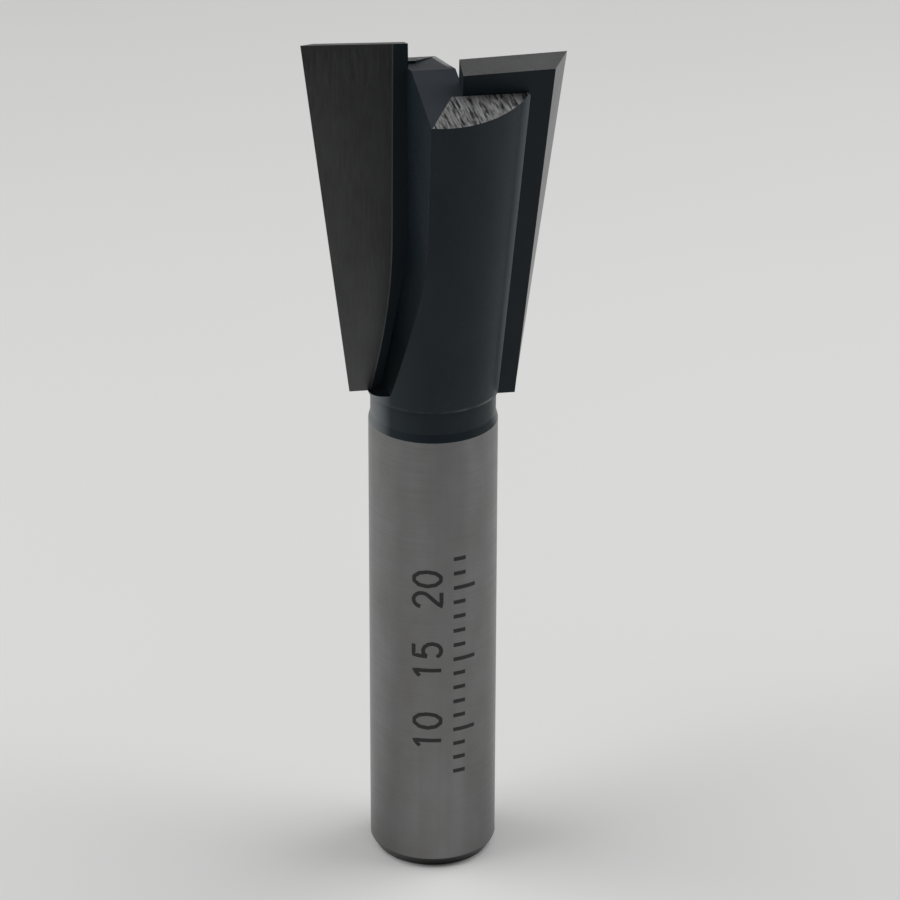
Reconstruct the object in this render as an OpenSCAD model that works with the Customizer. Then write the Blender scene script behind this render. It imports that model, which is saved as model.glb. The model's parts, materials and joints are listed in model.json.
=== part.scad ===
// Two-flute dovetail cutter for a router, standing on the end of its shank.
// Millimetres, +Z up along the tool axis, origin at the centre of the shank's end.

/* [Shank] */
// Diameter of the ground shank
shank_d = 8; // [6:0.1:9]
// Length of the bright shank, up to the coated neck
shank_len = 30; // [20:0.5:60]
// Radial width of the chamfer round the shank's end
foot_chamfer = 0.4; // [0.1:0.05:1]
// Height of that chamfer
foot_chamfer_h = 0.65; // [0.2:0.05:1.5]

/* [Neck] */
// Length of the neck between the bright shank and the cutting edges
neck_len = 2; // [1:0.1:8]
// How far the neck lies below the shank's surface
neck_relief = 0.13; // [0.05:0.01:0.5]
// Height of the bevel that leads from the shank to the neck
neck_bevel = 0.5; // [0.2:0.1:0.9]

/* [Cutting circle] */
// Diameter across the cutting corners at the end
cutter_d = 15.8; // [14:0.1:22]
// Length of the cutting edges
cut_len = 22; // [16:0.1:26]
// Angle of the dovetail edge to the tool axis
dovetail_angle = 7; // [4:0.1:9]

/* [Carbide tips] */
// Thickness of a tip
tip_t = 1.6; // [1.2:0.1:2.2]
// Distance from the tool axis to a tip's inner end, along the tip
tip_inner = 1.3; // [0.8:0.1:2]
// Hook angle of the cutting face at the outer corner
hook_angle = 11.5; // [6:0.5:15]
// Axial rake, the lean of the cutting face to the tool axis
axial_rake = 4.5; // [0:0.5:6]
// Relief of the end face, falling towards the tip's back
end_relief = 12; // [6:0.5:20]
// Dish of the end edge, falling towards the tool axis
end_dish = 1.75; // [0:0.25:4]
// Slope of the outer land at the end, from the face to the back
land_slope_top = 30.5; // [20:0.5:35]
// Slope of the outer land at the foot of the cutting edge
land_slope_base = 13; // [8:0.5:25]

/* [Head] */
// Radial gap from the cutting corner to the head, at the end
heel_gap_top = 1.55; // [1.3:0.05:3]
// Radial gap from the cutting edge to the head, at the foot of the edge
heel_gap_base = 1.15; // [0.8:0.05:1.4]
// Depth of the ground heel below the cutting corner, at the tip's back
heel_drop = 1.9; // [1.2:0.1:3]
// Relief of the ground heel
heel_relief = 16.5; // [8:0.5:22]
// Depth of the ridge at the middle of the end below the cutting corner
ridge_drop = 1.35; // [1:0.05:3]
// Slope of the coated end on each side of that ridge
ridge_relief = 13; // [6:0.5:20]
// Distance from the tool axis to the inner corner of the ground heel
heel_inner = 0.6; // [0.2:0.1:1.2]
// Turn of the ground heel's inner edge away from the relief direction
heel_edge_turn = 29; // [10:1:40]

/* [Flutes] */
// How far the flute's side wall stands outside the tip's inner end, at the face
seat_lip = 0.1; // [0.05:0.05:0.5]
// Draft of the flute's side wall
flute_draft = 3; // [0:0.5:6]
// Distance along the edge from the cutting corner to the bend of the side wall
bend_start = 11; // [6:0.5:12]
// Radius of that bend
bend_r = 20; // [10:1:40]
// Lean of the side wall below the bend
runout_lean = 12; // [6:0.5:14]
// Slope of the flute's floor, falling outwards
floor_slope = 28; // [10:1:40]

/* [Hidden] */
$fn = 96;
land_steps = 12;

shank_r = shank_d / 2;
neck_r = shank_r - neck_relief;
cutter_r = cutter_d / 2;
edge_foot_z = shank_len + neck_len;
top_z = edge_foot_z + cut_len;
reach = cutter_d;

// The cutting face lies behind the tool axis by the hook, and leans back towards it below
face_offset = cutter_r * sin(hook_angle);
foot_face_offset = face_offset - cut_len * sin(axial_rake);
edge_foot_r = cutter_r - cut_len * cos(axial_rake) * tan(dovetail_angle);
edge_top = sqrt(pow(cutter_r, 2) - pow(face_offset, 2));
edge_foot = sqrt(pow(edge_foot_r, 2) - pow(foot_face_offset, 2));
tip_back = face_offset + tip_t;
flute_wall = tip_inner + seat_lip;
// The flute's cutter also sweeps half the thickness of the seat, so that the two cuts join
seat_overlap = tip_t / 2;
flute_depth = reach + seat_overlap;
head_foot_r = edge_foot_r - heel_gap_base;

function mix(a, b, t) = a + (b - a) * t;

// Height of the end face at a distance x from the axis and y behind the cutting face
function end_z(x, y) = -(edge_top - x) * tan(end_dish) - y * tan(end_relief);

// Places a shape in a tip's own frame: X out along the tip, Y ahead of the face, Z up the edge
module at_tip() {
    translate([0, -face_offset, top_z])
        rotate([axial_rake, 0, 0])
            children();
}

// Everything above a plane that rises along Y, through the line at y and z
module above_plane(y, z, slope) {
    translate([0, y, z])
        rotate([slope, 0, 0])
            translate([-2 * reach, -2 * reach, 0])
                cube([4 * reach, 4 * reach, 2 * reach]);
}

// Shank and neck in one turned profile
module turned_shank() {
    rotate_extrude()
        polygon([
            [0, 0],
            [shank_r - foot_chamfer, 0],
            [shank_r, foot_chamfer_h],
            [shank_r, shank_len],
            [neck_r, shank_len + neck_bevel],
            [neck_r, edge_foot_z],
            [0, edge_foot_z]
        ]);
}

// Head before it is milled, a cone that widens towards the end
module head_cone() {
    translate([0, 0, edge_foot_z])
        cylinder(h = cut_len, r1 = head_foot_r, r2 = cutter_r - heel_gap_top);
}

// Sweep of the flute's cutter past the side wall: straight, round the bend, then leaning outwards
module side_wall_sweep() {
    translate([flute_wall, 0, -bend_start])
        rotate([0, 0, flute_draft])
            translate([bend_r, -seat_overlap, 0]) {
                translate([-bend_r, 0, 0])
                    cube([bend_r + reach, flute_depth, bend_start + reach]);
                rotate([-90, 0, 0])
                    cylinder(h = flute_depth, r = bend_r);
                rotate([0, -runout_lean, 0])
                    translate([-bend_r, 0, -2 * reach])
                        cube([bend_r + reach, flute_depth, 2 * reach]);
            }
}

// Flute ahead of a tip, down to a floor that falls outwards
module flute() {
    at_tip()
        intersection() {
            side_wall_sweep();
            translate([head_foot_r, 0, -cut_len])
                rotate([0, floor_slope, 0])
                    translate([-2 * reach, -2 * reach, 0])
                        cube([4 * reach, 4 * reach, 4 * reach]);
        }
}

// Seat that takes a tip, open at the end and outwards
module tip_seat() {
    at_tip()
        translate([tip_inner, -tip_t, -cut_len])
            cube([reach, tip_t, cut_len + reach]);
}

// Ground heel behind a tip
module heel_cut() {
    above_plane(-tip_back, top_z - heel_drop, heel_relief);
}

// Coated slope from the ridge down beside the heel
module ridge_cut() {
    intersection() {
        linear_extrude(height = top_z + reach)
            polygon([
                [-reach, 0],
                [reach, 0],
                [reach, -tip_back],
                [heel_inner, -tip_back],
                [heel_inner - reach * tan(heel_edge_turn), -tip_back - reach],
                [-reach, -tip_back - reach]
            ]);
        above_plane(0, top_z - ridge_drop, ridge_relief);
    }
}

module tool_body() {
    color("#33383d")
        difference() {
            union() {
                turned_shank();
                head_cone();
            }
            for (turn = [0, 180])
                rotate([0, 0, turn]) {
                    flute();
                    tip_seat();
                    heel_cut();
                    ridge_cut();
                }
        }
}

// A tip in its own frame: flat face, twisted outer land, relieved and dished end
module carbide_tip() {
    face_edge = [for (i = [0 : land_steps])
        let (t = i / land_steps)
        [mix(edge_foot, edge_top, t), 0, -cut_len * (1 - t)]];
    back_foot = edge_foot - tip_t * tan(land_slope_base);
    back_top = edge_top - tip_t * tan(land_slope_top);
    back_top_z = end_z(back_top, tip_t);
    back_edge = [for (i = [0 : land_steps])
        let (t = i / land_steps)
        [mix(back_foot, back_top, t), -tip_t, mix(-cut_len, back_top_z, t)]];
    inner = [
        [tip_inner, 0, -cut_len],
        [tip_inner, 0, end_z(tip_inner, 0)],
        [tip_inner, -tip_t, -cut_len],
        [tip_inner, -tip_t, end_z(tip_inner, tip_t)]
    ];
    back = land_steps + 1;
    foot_in = 2 * back;
    top_in = foot_in + 1;
    back_foot_in = foot_in + 2;
    back_top_in = foot_in + 3;
    at_tip()
        polyhedron(
            points = concat(face_edge, back_edge, inner),
            faces = concat(
                [concat([foot_in, top_in], [for (i = [land_steps : -1 : 0]) i])],
                [concat([back_top_in, back_foot_in], [for (i = [0 : land_steps]) back + i])],
                [for (i = [0 : land_steps - 1]) [i, i + 1, back + i + 1]],
                [for (i = [0 : land_steps - 1]) [i, back + i + 1, back + i]],
                [[top_in, back_top_in, back + land_steps, land_steps]],
                [[foot_in, 0, back, back_foot_in]],
                [[top_in, foot_in, back_foot_in, back_top_in]]
            )
        );
}

module carbide_tip_1() {
    color("#4a4d50") carbide_tip();
}

module carbide_tip_2() {
    color("#4a4d50") rotate([0, 0, 180]) carbide_tip();
}

tool_body();
carbide_tip_1();
carbide_tip_2();
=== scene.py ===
"""Looks of a carbide-tipped dovetail cutter that stands on the end of its shank."""

import json
import math

import bmesh
import bpy
from mathutils import Matrix, Vector


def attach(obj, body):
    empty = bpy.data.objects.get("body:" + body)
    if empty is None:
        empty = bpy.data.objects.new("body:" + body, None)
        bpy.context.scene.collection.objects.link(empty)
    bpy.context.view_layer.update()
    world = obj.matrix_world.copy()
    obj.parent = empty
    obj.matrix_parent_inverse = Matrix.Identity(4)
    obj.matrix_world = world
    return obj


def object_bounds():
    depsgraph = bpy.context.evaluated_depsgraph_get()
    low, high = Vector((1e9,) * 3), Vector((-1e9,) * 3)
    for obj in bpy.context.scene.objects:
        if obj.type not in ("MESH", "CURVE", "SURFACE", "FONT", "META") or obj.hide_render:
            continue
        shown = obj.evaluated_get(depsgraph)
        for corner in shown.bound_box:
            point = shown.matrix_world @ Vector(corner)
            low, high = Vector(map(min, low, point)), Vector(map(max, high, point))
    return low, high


MM = 0.001


def grey(value, warm=0.0):
    """A grey as a colour, a little warmer, or cooler where warm is below 0."""
    return (value * (1 + warm), value, value * (1 - warm), 1.0)


# Camera, placed round the tool axis
CAMERA_REACH = 235.4 * MM
CAMERA_HEIGHT = 140.5 * MM
CAMERA_TURN = math.radians(-8.60)
CAMERA_PITCH = math.radians(25.61)
CAMERA_YAW = math.radians(0.255)
CAMERA_ROLL = math.radians(0.17)
CAMERA_LENS = 168.9
CAMERA_SENSOR = 36.0
CAMERA_CLIP = 1.0 * MM

# Floor, soft boxes and dark card, with lengths in metres
FLOOR_HALF = 3.0
FLOOR_TONE = (0.80, 0.80, 0.795)
FLOOR_CLOUD = 0.97
FLOOR_ROUGHNESS = 0.75
FLOOR_SPECULAR = 0.25
AMBIENT_TONE = grey(1.0)
AMBIENT_STRENGTH = 0.22
BOX_SIDE = 0.20
BOX_BACK = 0.035
BOX_HEIGHT = 0.25
BOX_SIZE = 0.26
BOX_POWER = 0.53
CARD_WIDTH = 0.50
CARD_HEIGHT = 0.30
CARD_DISTANCE = 0.13
CARD_TONES = (grey(0.054), grey(0.06))
CARD_ROUGHNESS = 1.0

# Noise of the materials: scales per metre along X, Y and Z, detail, roughness and turn about Z
SCRATCH_TURN = math.radians(79)
RINGS = {"scales": (260, 260, 16000), "detail": 3, "rough": 0.6}
BANDS = {"scales": (900, 900, 25)}
STEEL_CLOUDS = {"scales": (420, 420, 260), "detail": 3}
TOOTH = {"scales": (9000, 9000, 9000), "detail": 3, "rough": 0.6}
SPECKS = {"scales": (5200, 5200, 5200), "detail": 1}
COAT_CLOUDS = {"scales": (500, 500, 300), "detail": 3}
NECK_BREAKS = {"scales": (900, 900, 900)}
SCRATCHES = {"scales": (760, 4700, 760), "detail": 4, "rough": 0.62, "turn": SCRATCH_TURN}
FINE_SCRATCHES = {"scales": (900, 16000, 900), "detail": 3, "rough": 0.6, "turn": SCRATCH_TURN}
CARBIDE_LINES = {"scales": (9000, 9000, 220), "detail": 3, "rough": 0.6}
CARBIDE_CLOUDS = {"scales": (300, 300, 200)}
MARK_GRAIN = {"scales": (14000, 14000, 14000)}
FLOOR_CLOUDS = {"scales": (9, 9, 9), "detail": 3}
CARD_CLOUDS = {"scales": (9, 9, 9)}

# Values that most noise lies between
NOISE_LOW = 0.3
NOISE_HIGH = 0.7

# Ground shank, with painted shade on the chamfer round its end, for the shadowed floor that the chamfer
# reflects
STEEL_TONES = (grey(0.188, 0.02), grey(0.231, -0.01))
STEEL_ROUGHNESS_RANGE = (0.2, 0.8)
STEEL_ROUGHNESS = (0.30, 0.46)
BAND_RANGE = (0.35, 0.65)
BAND_SHARE = 0.35
BAND_TONE = grey(0.156)
RING_RANGE = (0.35, 0.75)
RING_SHARE = 0.25
RING_TONE = grey(0.15)
RING_DEPTH = 0.004 * MM
RING_BUMP = 0.6
CHAMFER_SHADE_SOFTNESS = 0.05 * MM
CHAMFER_SHADE_SHARE = 0.75
CHAMFER_SHADE_TONE = grey(0.02)

# Coating of the neck, the head and the tips
HEAD_TONES = ((0.0095, 0.0168, 0.0218, 1), (0.0128, 0.0215, 0.0272, 1))
# Painted light: the end's coating is a lighter copy of the head's coating
LIT_END_TONES = ((0.0185, 0.0230, 0.0285, 1), (0.0230, 0.0275, 0.0340, 1))
# Pale tone of the painted highlights round the neck and along the braze
PALE_HIGHLIGHT_TONE = (0.185, 0.200, 0.210, 1)
# Painted shade deep in a flute: a darker tone
FLUTE_SHADE_TONE = (0.0030, 0.0050, 0.0060, 1)
SPECK_RANGE = (0.72, 0.8)
SPECK_SHARE = 0.5
SPECK_TONE = (0.04, 0.044, 0.046, 1)
COAT_ROUGHNESS = (0.36, 0.5)
COAT_SPECULAR = 0.2
# Weaker gloss of the painted shade deep in a flute
FLUTE_SHADE_SPECULAR = 0.03
TOOTH_DEPTH = 0.006 * MM
TOOTH_BUMP = 0.35

# Paler line in the coating along the braze at the back of a tip: partly a braze line, partly a painted
# highlight where the head's edge catches light
BRAZE_WIDTH = 0.9 * MM
BRAZE_INNER = 3.0 * MM
BRAZE_HIGHLIGHT_SHARE = 0.95

# Painted highlight at the top of the neck, where its bevel meets the head, which grows from one side to
# the other as the light falls
NECK_LENGTH = 2.0 * MM
NECK_HIGHLIGHT_RISE = 0.08 * MM
NECK_HIGHLIGHT_WIDTH = 0.13 * MM
NECK_HIGHLIGHT_RANGE = (0.35, 0.6)
NECK_HIGHLIGHT_FROM = 0.5 * MM
NECK_HIGHLIGHT_TO = 3.0 * MM
NECK_HIGHLIGHT_SHARE = (0.1, 0.8)

# Bare edge of the coated end, which is also a painted highlight and lies on one side only, and painted
# shade towards the foot of a flute
END_EDGE_WIDTH = 0.35 * MM
END_EDGE_FROM = 0.6 * MM
END_EDGE_TO = 2.6 * MM
# Painted highlight as well as bare metal: pale, glossy metal on one flute's edge only
END_EDGE_HIGHLIGHT_SHARE = 0.85
END_EDGE_HIGHLIGHT_TONE = grey(0.6)
END_EDGE_ROUGHNESS = 0.4
# Painted shade in a flute grows between these depths below the top
FLUTE_SHADE_FROM = 10.0 * MM
FLUTE_SHADE_TO = 18.0 * MM

# Bare heels
HEEL_TONES = (grey(0.20), grey(0.42))
HEEL_ROUGHNESS = (0.34, 0.55)
SCRATCH_RANGE = (0.48, 0.60)
SCRATCH_TONE = grey(0.045, -0.05)
SCRATCH_DEPTH = 0.03 * MM
SCRATCH_BUMP = 0.8

# Ground carbide, painted brighter on a tip's land and end than on its face: lit and shaded copies of one
# material
CARBIDE_WARMTH = -0.01
CARBIDE_TONES = (0.13, 0.17)
CARBIDE_LINE_RANGE = (0.4, 0.75)
CARBIDE_LINE_SHARE = 0.35
CARBIDE_LINE_TONE = 0.22
CARBIDE_ROUGHNESS_RANGE = (0.25, 0.75)
CARBIDE_ROUGHNESS = (0.30, 0.42)
LIT_LAND_BRIGHTNESS = 1.38
SHADED_FACE_BRIGHTNESS = 0.88

# Strip of coating left on a cutting face beside the flute, by distance from the axis and depth
STRIP_EDGE = 2.2 * MM
STRIP_LEAN = 0.017
STRIP_BEND = 12.3 * MM
STRIP_RUNOUT = 0.0145 / MM
STRIP_SOFTNESS = 0.03 * MM
# Painted highlight along the strip's edge, where the face's edge catches light
STRIP_HIGHLIGHT_WIDTH = 3 * STRIP_SOFTNESS
STRIP_HIGHLIGHT_TONE = grey(0.3)

# Depth scale on the shank: a row of figures beside a row of ticks, both read up the shank
SCALE_FIRST = 7
SCALE_LAST = 22
SCALE_STEP = 5
FIGURE_HEIGHT = 1.75 * MM
FIGURE_WIDTH = 1.0 * MM
FIGURE_GAP = 0.45 * MM
FIGURE_ROW = math.radians(-103.5)
TICK_ROW = math.radians(-69.0)
TICK_LONG = 1.5 * MM
TICK_SHORT = 0.8 * MM
STROKE = 0.25 * MM
STROKE_STEPS = 10
MARK_RISE = 0.012 * MM
MARK_DEPTH = 0.02 * MM
MARK_TONES = (grey(0.008), grey(0.03))
MARK_ROUGHNESS = (0.55, 0.75)

# How faces are told apart, by parts of their normals along an axis and by tolerances
FACING = 0.9
WALL_FACING = 0.95
WALL_LEAN = 0.03
FLUTE_FACING = -0.02
GROUND_FACING = 0.6
SLOPE_TOLERANCE = math.radians(0.2)
SHANK_TOLERANCE = 0.005 * MM

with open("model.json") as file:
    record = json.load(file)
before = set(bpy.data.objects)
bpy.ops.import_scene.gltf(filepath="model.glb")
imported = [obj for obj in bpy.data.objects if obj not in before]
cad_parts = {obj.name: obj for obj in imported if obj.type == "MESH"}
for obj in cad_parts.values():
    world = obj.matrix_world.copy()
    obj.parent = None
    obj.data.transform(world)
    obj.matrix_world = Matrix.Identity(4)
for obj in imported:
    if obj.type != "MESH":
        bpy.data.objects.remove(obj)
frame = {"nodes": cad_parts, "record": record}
cad_low, cad_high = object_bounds()
record = frame["record"]
body = frame["nodes"]["tool_body"]
tips = [frame["nodes"]["carbide_tip_1"], frame["nodes"]["carbide_tip_2"]]
shank = next(m for m in record["mounts"] if m["name"] == "shank")
shank_r = shank["dims"]["r_mm"] * MM
top_z = cad_high.z


def on_shank_surface(point):
    return abs(math.hypot(point.x, point.y) - shank_r) < SHANK_TOLERANCE


# The shank's full diameter reaches from the chamfer up to the coating
shank_heights = [v.co.z for v in body.data.vertices if on_shank_surface(v.co)]
foot_z = min(shank_heights)
coat_z = max(shank_heights)
head_z = coat_z + NECK_LENGTH


class Tree:
    """A material's node tree, built in few words. Inputs may be values or other nodes' outputs."""

    def __init__(self, name):
        self.material = bpy.data.materials.new(name)
        self.material.use_nodes = True
        self.nodes = self.material.node_tree.nodes
        self.links = self.material.node_tree.links
        self.shader = self.nodes["Principled BSDF"]
        self.place = self.add("ShaderNodeTexCoord").outputs["Object"]
        axes = self.add("ShaderNodeSeparateXYZ", {"Vector": self.place})
        self.x, self.y, self.z = axes.outputs

    def feed(self, socket, value):
        if isinstance(value, bpy.types.NodeSocket):
            self.links.new(value, socket)
        else:
            socket.default_value = value

    def set(self, name, value):
        """Feeds an input of the material's shader."""
        self.feed(self.shader.inputs[name], value)

    def add(self, kind, inputs=None, **settings):
        node = self.nodes.new(kind)
        for key, value in settings.items():
            setattr(node, key, value)
        for key, value in (inputs or {}).items():
            self.feed(node.inputs[key], value)
        return node

    def math(self, operation, first, second=0.0):
        return self.add("ShaderNodeMath", {0: first, 1: second}, operation=operation).outputs[0]

    def noise(self, scales, detail=2.0, rough=0.5, turn=0.0):
        """Noise in object space with its own scale along each axis, per metre, turned about Z."""
        turned = self.add("ShaderNodeVectorRotate", {"Vector": self.place, "Angle": turn},
                          rotation_type="Z_AXIS")
        stretched = self.add("ShaderNodeVectorMath", {0: turned.outputs[0], 1: scales},
                             operation="MULTIPLY")
        node = self.add("ShaderNodeTexNoise", {"Vector": stretched.outputs[0], "Scale": 1.0,
                                               "Detail": detail, "Roughness": rough})
        return node.outputs[0]

    def spread(self, value, low=NOISE_LOW, high=NOISE_HIGH, out_low=0.0, out_high=1.0):
        """Maps value from low..high to out_low..out_high, clamped."""
        node = self.add("ShaderNodeMapRange", {"Value": value, "From Min": low, "From Max": high,
                                               "To Min": out_low, "To Max": out_high})
        return node.outputs[0]

    def mix(self, share, first, second):
        """Mixes two colours. A mix node's colour inputs are 6 and 7, and its colour output is 2."""
        return self.add("ShaderNodeMix", {0: share, 6: first, 7: second}, data_type="RGBA").outputs[2]

    def mix_values(self, share, first, second):
        """Mixes two values, which are inputs 2 and 3 of a mix node."""
        return self.add("ShaderNodeMix", {0: share, 2: first, 3: second}, data_type="FLOAT").outputs[0]

    def bump(self, height, distance, strength):
        node = self.add("ShaderNodeBump", {"Height": height, "Distance": distance, "Strength": strength})
        self.set("Normal", node.outputs[0])

    def height_above(self, face, side):
        """Height above a face's plane, or above the plane half a turn from it where side is -1."""
        across = self.math("MULTIPLY", self.math("MULTIPLY", side, self.x), face.normal.x)
        along = self.math("MULTIPLY", self.math("MULTIPLY", side, self.y), face.normal.y)
        up = self.math("MULTIPLY", self.z, face.normal.z)
        level = self.math("ADD", self.math("ADD", across, along), up)
        return self.math("SUBTRACT", level, face.center.dot(face.normal))


def ground_steel():
    """Bright shank: fine rings from the grinder, faint clouds and bands, and painted shade on the
    chamfer.
    """
    tree = Tree("ground_steel")
    rings = tree.noise(**RINGS)
    clouds = tree.noise(**STEEL_CLOUDS)
    bands = tree.noise(**BANDS)
    tone = tree.mix(tree.spread(clouds), *STEEL_TONES)
    tone = tree.mix(tree.spread(bands, *BAND_RANGE, 0.0, BAND_SHARE), tone, BAND_TONE)
    tone = tree.mix(tree.spread(rings, *RING_RANGE, 0.0, RING_SHARE), tone, RING_TONE)
    # Painted shade: the chamfer is darkened to stand in for the contact shadow on the floor that it
    # reflects
    chamfer = tree.spread(tree.z, foot_z, foot_z + CHAMFER_SHADE_SOFTNESS, CHAMFER_SHADE_SHARE, 0.0)
    tree.set("Base Color", tree.mix(chamfer, tone, CHAMFER_SHADE_TONE))
    tree.set("Metallic", 1.0)
    tree.set("Roughness", tree.spread(rings, *STEEL_ROUGHNESS_RANGE, *STEEL_ROUGHNESS))
    tree.bump(rings, RING_DEPTH, RING_BUMP)
    return tree.material


def coating_nodes(tree, tones=HEAD_TONES, bare=None, pale_highlight=None, flute_shade=None):
    """Feeds the shader the satin blue-black coating, with a fine tooth and a few pale specks.

    A share of pale painted highlight and a share of painted shade, which darkens it and weakens its
    gloss, may be given. Where the share of bare is 1, bare's tone and roughness win.
    """
    tooth = tree.noise(**TOOTH)
    clouds = tree.noise(**COAT_CLOUDS)
    specks = tree.noise(**SPECKS)
    tone = tree.mix(tree.spread(clouds), *tones)
    tone = tree.mix(tree.spread(specks, *SPECK_RANGE, 0.0, SPECK_SHARE), tone, SPECK_TONE)
    rough = tree.spread(tooth, NOISE_LOW, NOISE_HIGH, *COAT_ROUGHNESS)
    specular = COAT_SPECULAR
    # Painted highlight, mixed in by a share
    if pale_highlight is not None:
        tone = tree.mix(pale_highlight, tone, PALE_HIGHLIGHT_TONE)
    # Painted shade, mixed in by a share
    if flute_shade is not None:
        tone = tree.mix(flute_shade, tone, FLUTE_SHADE_TONE)
        specular = tree.spread(flute_shade, 0.0, 1.0, COAT_SPECULAR, FLUTE_SHADE_SPECULAR)
    if bare is not None:
        tone = tree.mix(bare["share"], tone, bare["tone"])
        rough = tree.mix_values(bare["share"], rough, bare["rough"])
        tree.set("Metallic", bare["share"])
    tree.set("Base Color", tone)
    tree.set("Roughness", rough)
    tree.set("Specular IOR Level", specular)
    tree.bump(tooth, TOOTH_DEPTH, TOOTH_BUMP)


def coated_steel():
    """Coating of the neck and the outside of the head, with painted highlights along the braze and round
    the top of the neck.
    """
    tree = Tree("coated_steel")
    coating_nodes(tree, pale_highlight=tree.math("MAXIMUM", braze_line(tree), neck_line(tree)))
    return tree.material


def coated_carbide():
    """The same coating on a tip."""
    tree = Tree("coated_carbide")
    coating_nodes(tree)
    return tree.material


def coated_flute():
    """The same coating in a flute, with painted shade that makes it darker and less glossy towards the
    flute's foot, where little light reaches.
    """
    tree = Tree("coated_flute")
    depth = tree.math("SUBTRACT", top_z, tree.z)
    coating_nodes(tree, flute_shade=tree.spread(depth, FLUTE_SHADE_FROM, FLUTE_SHADE_TO))
    return tree.material


def coated_end():
    """The same coating on the end, painted lighter for the light that the upward end catches, with a bare
    edge where the wheel that ground a face brushed past, which also serves as a painted highlight.
    """
    tree = Tree("coated_end")
    bare = {"share": end_edge(tree), "tone": END_EDGE_HIGHLIGHT_TONE, "rough": END_EDGE_ROUGHNESS}
    coating_nodes(tree, tones=LIT_END_TONES, bare=bare)
    return tree.material


def braze_line(tree):
    """Share of the paler line along the braze, where the head meets the back of a tip: partly a braze
    line, partly a painted highlight on the head's edge.
    """
    back = next(f for f in tips[0].data.polygons if f.normal.y < -FACING)
    behind = tree.height_above(back, tree.math("SIGN", tree.x))
    near = tree.spread(behind, 0.0, BRAZE_WIDTH, BRAZE_HIGHLIGHT_SHARE, 0.0)
    outside = tree.spread(tree.math("ABSOLUTE", tree.x), BRAZE_INNER, BRAZE_INNER + BRAZE_WIDTH)
    return tree.math("MULTIPLY", near, outside)


def neck_line(tree):
    """Share of the broken painted highlight round the top of the neck, strongest below the first tip, on
    the side that catches the light.
    """
    away = tree.math("ABSOLUTE", tree.math("SUBTRACT", tree.z, head_z + NECK_HIGHLIGHT_RISE))
    near = tree.spread(away, 0.0, NECK_HIGHLIGHT_WIDTH, 1.0, 0.0)
    broken = tree.math("MULTIPLY", near, tree.spread(tree.noise(**NECK_BREAKS), *NECK_HIGHLIGHT_RANGE))
    pale_highlight = tree.spread(tree.x, NECK_HIGHLIGHT_FROM, NECK_HIGHLIGHT_TO, *NECK_HIGHLIGHT_SHARE)
    return tree.math("MULTIPLY", broken, pale_highlight)


def end_edge(tree):
    """Share of the bare edge along the first flute's side wall, away from the ridge: partly a ground
    edge, partly a painted highlight, left off the other flute whose edge lies in shade.
    """
    upright = [f for f in body.data.polygons if f.normal.x > WALL_FACING and abs(f.normal.z) < WALL_LEAN]
    wall = max((f for f in upright if f.center.z > head_z), key=lambda f: f.area)
    inside = tree.math("MULTIPLY", tree.height_above(wall, 1.0), -1.0)
    near = tree.spread(inside, END_EDGE_WIDTH / 2, END_EDGE_WIDTH, END_EDGE_HIGHLIGHT_SHARE, 0.0)
    return tree.math("MULTIPLY", near, tree.spread(tree.y, END_EDGE_FROM, END_EDGE_TO))


def bare_heel():
    """Heel that was ground through the coating: pale steel with coarse dark scratches."""
    tree = Tree("bare_heel")
    scratches = tree.noise(**SCRATCHES)
    fine = tree.noise(**FINE_SCRATCHES)
    tone = tree.mix(tree.spread(fine), *HEEL_TONES)
    tree.set("Base Color", tree.mix(tree.spread(scratches, *SCRATCH_RANGE), tone, SCRATCH_TONE))
    tree.set("Metallic", 1.0)
    tree.set("Roughness", tree.spread(fine, NOISE_LOW, NOISE_HIGH, *HEEL_ROUGHNESS))
    tree.bump(scratches, SCRATCH_DEPTH, SCRATCH_BUMP)
    return tree.material


def carbide_nodes(tree, brightness):
    """Tone and roughness of ground carbide, with the grinder's lines along the edge."""
    lines = tree.noise(**CARBIDE_LINES)
    clouds = tree.noise(**CARBIDE_CLOUDS)
    tones = [grey(tone * brightness, CARBIDE_WARMTH) for tone in CARBIDE_TONES]
    line_tone = grey(CARBIDE_LINE_TONE * brightness, CARBIDE_WARMTH)
    tone = tree.mix(tree.spread(clouds), *tones)
    tone = tree.mix(tree.spread(lines, *CARBIDE_LINE_RANGE, 0.0, CARBIDE_LINE_SHARE), tone, line_tone)
    rough = tree.spread(lines, *CARBIDE_ROUGHNESS_RANGE, *CARBIDE_ROUGHNESS)
    return tone, rough


def ground_carbide():
    """Land and end of a tip, ground bare, painted as the lit copy of the carbide."""
    tree = Tree("ground_carbide")
    tone, rough = carbide_nodes(tree, LIT_LAND_BRIGHTNESS)
    tree.set("Base Color", tone)
    tree.set("Metallic", 1.0)
    tree.set("Roughness", rough)
    return tree.material


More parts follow.
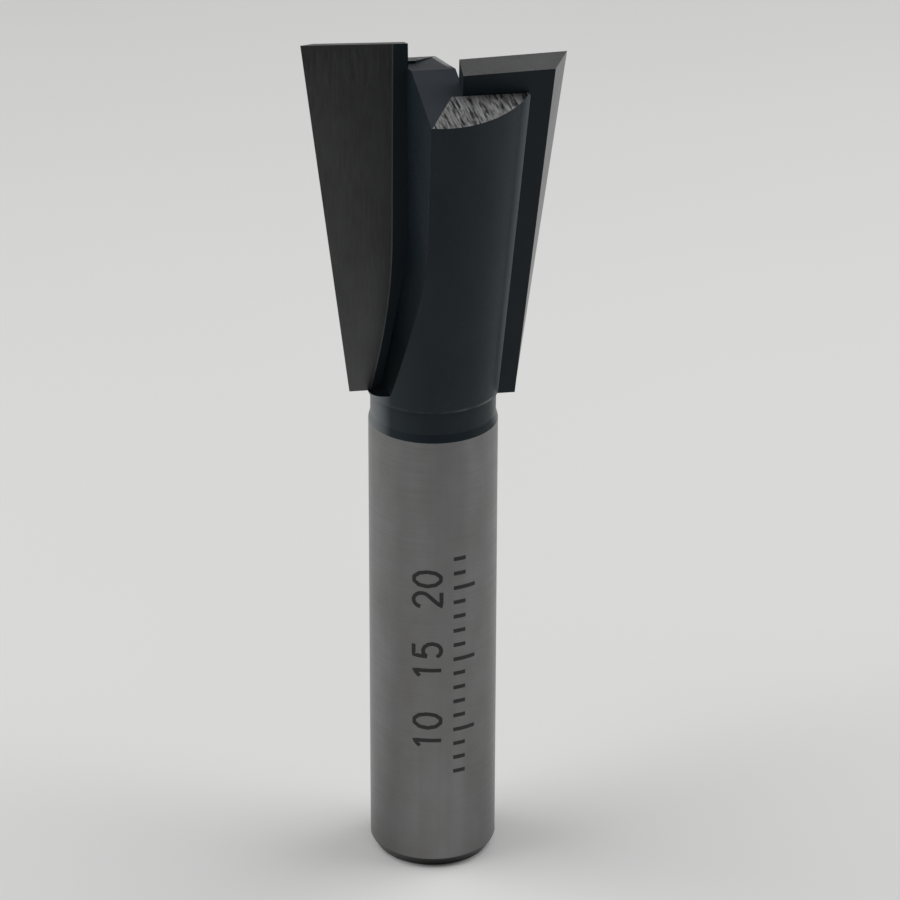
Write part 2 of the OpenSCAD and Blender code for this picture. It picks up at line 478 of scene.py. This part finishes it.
def cutting_face():
    """Face of a tip: ground carbide, but for the strip of coating that the wheel missed, with a painted
    highlight along the strip's edge.
    """
    tree = Tree("cutting_face")
    depth = tree.math("SUBTRACT", top_z, tree.z)
    runout = tree.math("MAXIMUM", tree.math("SUBTRACT", depth, STRIP_BEND), 0.0)
    straight = tree.math("ADD", STRIP_EDGE, tree.math("MULTIPLY", depth, STRIP_LEAN))
    curve = tree.math("MULTIPLY", tree.math("MULTIPLY", runout, runout), STRIP_RUNOUT)
    edge = tree.math("ADD", straight, curve)
    outside = tree.math("SUBTRACT", tree.math("ABSOLUTE", tree.x), edge)
    share = tree.spread(outside, -STRIP_SOFTNESS, STRIP_SOFTNESS)
    # Painted highlight: a pale line along the strip's edge
    line = tree.spread(tree.math("ABSOLUTE", outside), 0.0, STRIP_HIGHLIGHT_WIDTH, 1.0, 0.0)
    # Painted shade: the face takes the darker copy of the carbide
    tone, rough = carbide_nodes(tree, SHADED_FACE_BRIGHTNESS)
    tone = tree.mix(line, tone, STRIP_HIGHLIGHT_TONE)
    coating_nodes(tree, bare={"share": share, "tone": tone, "rough": rough})
    return tree.material


def laser_mark():
    """Dark laser marking on the shank."""
    tree = Tree("laser_mark")
    grain = tree.noise(**MARK_GRAIN)
    tree.set("Base Color", tree.mix(tree.spread(grain), *MARK_TONES))
    tree.set("Roughness", tree.spread(grain, NOISE_LOW, NOISE_HIGH, *MARK_ROUGHNESS))
    return tree.material


def pale_floor():
    """Plain pale paper."""
    tree = Tree("pale_floor")
    cloud_tone = tuple(FLOOR_CLOUD * part for part in FLOOR_TONE)
    clouds = tree.spread(tree.noise(**FLOOR_CLOUDS))
    tree.set("Base Color", tree.mix(clouds, (*cloud_tone, 1), (*FLOOR_TONE, 1)))
    tree.set("Roughness", FLOOR_ROUGHNESS)
    tree.set("Specular IOR Level", FLOOR_SPECULAR)
    return tree.material


def dark_paper():
    """Dark, matte paper of the card."""
    tree = Tree("dark_card")
    tree.set("Base Color", tree.mix(tree.spread(tree.noise(**CARD_CLOUDS)), *CARD_TONES))
    tree.set("Roughness", CARD_ROUGHNESS)
    return tree.material


def dress(node, materials, choose):
    """Gives a CAD node its materials, and each face the one that choose names."""
    names = list(materials)
    node.data.materials.clear()
    for material in materials.values():
        node.data.materials.append(material)
    for face in node.data.polygons:
        face.material_index = names.index(choose(face))


def slope(face):
    """Angle between a face and the level."""
    return math.acos(min(1.0, face.normal.z))


def dress_body():
    """Shank bright, neck and head coated, heels bare. The heels are the steeper faces of the end."""
    ends = [f for f in body.data.polygons if f.center.z > coat_z and f.normal.z > FACING]
    heel_slope = max(map(slope, ends))

    def choose(face):
        if face.center.z < coat_z:
            return "shank"
        if face.normal.z > FACING:
            return "heel" if abs(slope(face) - heel_slope) < SLOPE_TOLERANCE else "end"
        return "flute" if face.normal.z > FLUTE_FACING and face.center.z > head_z else "coat"

    dress(body, {"shank": ground_steel(), "coat": coated_steel(), "heel": bare_heel(),
                 "flute": coated_flute(), "end": coated_end()}, choose)


def dress_tips():
    """Tips ground on the face, the land and the end, and coated on the rest."""
    materials = {"coat": coated_carbide(), "ground": ground_carbide(), "face": cutting_face()}
    for tip in tips:
        side = math.copysign(1.0, tip.data.vertices[0].co.x)

        def choose(face):
            outwards, ahead = side * face.normal.x, side * face.normal.y
            if ahead > FACING:
                return "face"
            return "ground" if outwards > GROUND_FACING or face.normal.z > GROUND_FACING else "coat"

        dress(tip, materials, choose)


def arc(cx, cy, rx, ry, start, end):
    """Points of an elliptic arc, angles in degrees."""
    angles = [math.radians(start + (end - start) * i / STROKE_STEPS) for i in range(STROKE_STEPS + 1)]
    return [(cx + rx * math.cos(a), cy + ry * math.sin(a)) for a in angles]


# Figures as strokes in a unit cell, from 0 to 1 across and up
FIGURES = {
    "0": [arc(0.5, 0.5, 0.5, 0.5, 0, 360)],
    "1": [[(0.15, 0.78), (0.55, 1.0), (0.55, 0.0)]],
    "2": [arc(0.5, 0.7, 0.48, 0.3, 170, -40) + [(0.02, 0.0), (1.0, 0.0)]],
    "5": [[(0.92, 1.0), (0.16, 1.0), (0.08, 0.52)] + arc(0.48, 0.33, 0.5, 0.33, 140, -150)],
}


def along(points, step):
    """The same line with points at most step apart."""
    line = [Vector(points[0])]
    for end in map(Vector, points[1:]):
        start = line[-1]
        count = max(1, math.ceil((end - start).length / step))
        line += [start.lerp(end, (i + 1) / count) for i in range(count)]
    return line


def on_shank(turn, height, rise):
    """A point at an angle about the axis and a height, a little above the shank's surface or below it."""
    r = shank_r + rise
    return Vector((r * math.cos(turn), r * math.sin(turn), height))


def add_stroke(mesh, points):
    """A flat stroke on the shank, from points given as distance round the shank and height."""
    line = along(points, STROKE)
    rings = []
    for i, point in enumerate(line):
        before, after = line[max(i - 1, 0)], line[min(i + 1, len(line) - 1)]
        direction = (after - before).normalized()
        across = Vector((-direction.y, direction.x)) * STROKE / 2
        ends = [point - across, point + across]
        # Corners 0 and 1 of a ring lie in the shank, and 2 and 3 above them
        ring = [mesh.verts.new(on_shank(p.x / shank_r, p.y, rise))
                for rise in (-MARK_DEPTH, MARK_RISE) for p in ends]
        rings.append(ring)
    for a, b in zip(rings, rings[1:]):
        for i, j in ((2, 3), (3, 1), (1, 0), (0, 2)):
            mesh.faces.new((a[i], a[j], b[j], b[i]))
    for ring in (rings[0], rings[-1]):
        mesh.faces.new((ring[0], ring[1], ring[3], ring[2]))


def add_figure(mesh, figure, start):
    """A figure that reads up the shank, its foot towards +X, from a start height."""
    middle = FIGURE_ROW * shank_r
    for stroke in FIGURES[figure]:
        add_stroke(mesh, [(middle + (0.5 - y) * FIGURE_HEIGHT, start + x * FIGURE_WIDTH)
                          for x, y in stroke])


def add_number(mesh, text, height):
    """A number whose middle is at a height."""
    pitch = FIGURE_WIDTH + FIGURE_GAP
    width = len(text) * FIGURE_WIDTH + (len(text) - 1) * FIGURE_GAP
    for i, figure in enumerate(text):
        add_figure(mesh, figure, height - width / 2 + i * pitch)


def depth_scale():
    """Figures and ticks that count millimetres from the shank's end."""
    mesh = bmesh.new()
    left = TICK_ROW * shank_r - TICK_LONG / 2
    for count in range(SCALE_FIRST, SCALE_LAST + 1):
        height = count * MM
        numbered = count % SCALE_STEP == 0
        length = TICK_LONG if numbered else TICK_SHORT
        add_stroke(mesh, [(left, height), (left + length, height)])
        if numbered:
            add_number(mesh, str(count), height)
    bmesh.ops.recalc_face_normals(mesh, faces=mesh.faces)
    data = bpy.data.meshes.new("depth_scale")
    mesh.to_mesh(data)
    mesh.free()
    data.materials.append(laser_mark())
    piece = bpy.data.objects.new("depth_scale", data)
    bpy.context.scene.collection.objects.link(piece)
    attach(piece, "root")


def plate(name, corners, material):
    """A flat four-cornered sheet of the stage."""
    data = bpy.data.meshes.new(name)
    data.from_pydata(corners, [], [(0, 1, 2, 3)])
    data.materials.append(material)
    piece = bpy.data.objects.new(name, data)
    bpy.context.scene.collection.objects.link(piece)
    return piece


def add_floor():
    h = FLOOR_HALF
    plate("floor", [(-h, -h, 0), (h, -h, 0), (h, h, 0), (-h, h, 0)], pale_floor())


def add_card():
    """A dark card before the object, which only its reflections see."""
    x, y, z = CARD_WIDTH / 2, -CARD_DISTANCE, CARD_HEIGHT
    card = plate("dark_card", [(-x, y, 0), (x, y, 0), (x, y, z), (-x, y, z)], dark_paper())
    card.visible_camera = False
    card.visible_diffuse = False
    card.visible_shadow = False


def add_light():
    """Weak even light, and a soft box on each side that looks down and inwards."""
    world = bpy.data.worlds.new("studio")
    world.use_nodes = True
    ambient = world.node_tree.nodes["Background"]
    ambient.inputs["Color"].default_value = AMBIENT_TONE
    ambient.inputs["Strength"].default_value = AMBIENT_STRENGTH
    bpy.context.scene.world = world
    for name, side in (("left_box", -BOX_SIDE), ("right_box", BOX_SIDE)):
        lamp = bpy.data.lights.new(name, "AREA")
        lamp.size = BOX_SIZE
        lamp.energy = BOX_POWER
        box = bpy.data.objects.new(name, lamp)
        box.location = (side, BOX_BACK, BOX_HEIGHT)
        box.rotation_euler = Vector((-side, 0, -BOX_HEIGHT)).to_track_quat("-Z", "Y").to_euler()
        box.visible_camera = False
        bpy.context.scene.collection.objects.link(box)


def add_camera():
    """A camera turned round the tool axis, then pitched, yawed and rolled."""
    data = bpy.data.cameras.new("camera")
    data.lens = CAMERA_LENS
    data.sensor_width = CAMERA_SENSOR
    data.clip_start = CAMERA_CLIP
    camera = bpy.data.objects.new("camera", data)
    place = Matrix.Rotation(CAMERA_TURN, 4, "Z") @ Matrix.Translation((0, -CAMERA_REACH, CAMERA_HEIGHT))
    aim = Matrix.Rotation(-CAMERA_YAW, 4, "Z") @ Matrix.Rotation(math.pi / 2 - CAMERA_PITCH, 4, "X")
    camera.matrix_world = place @ aim @ Matrix.Rotation(CAMERA_ROLL, 4, "Z")
    bpy.context.scene.collection.objects.link(camera)
    bpy.context.scene.camera = camera


dress_body()
dress_tips()
depth_scale()
add_floor()
add_card()
add_light()
add_camera()
bpy.context.scene.view_settings.view_transform = "Standard"
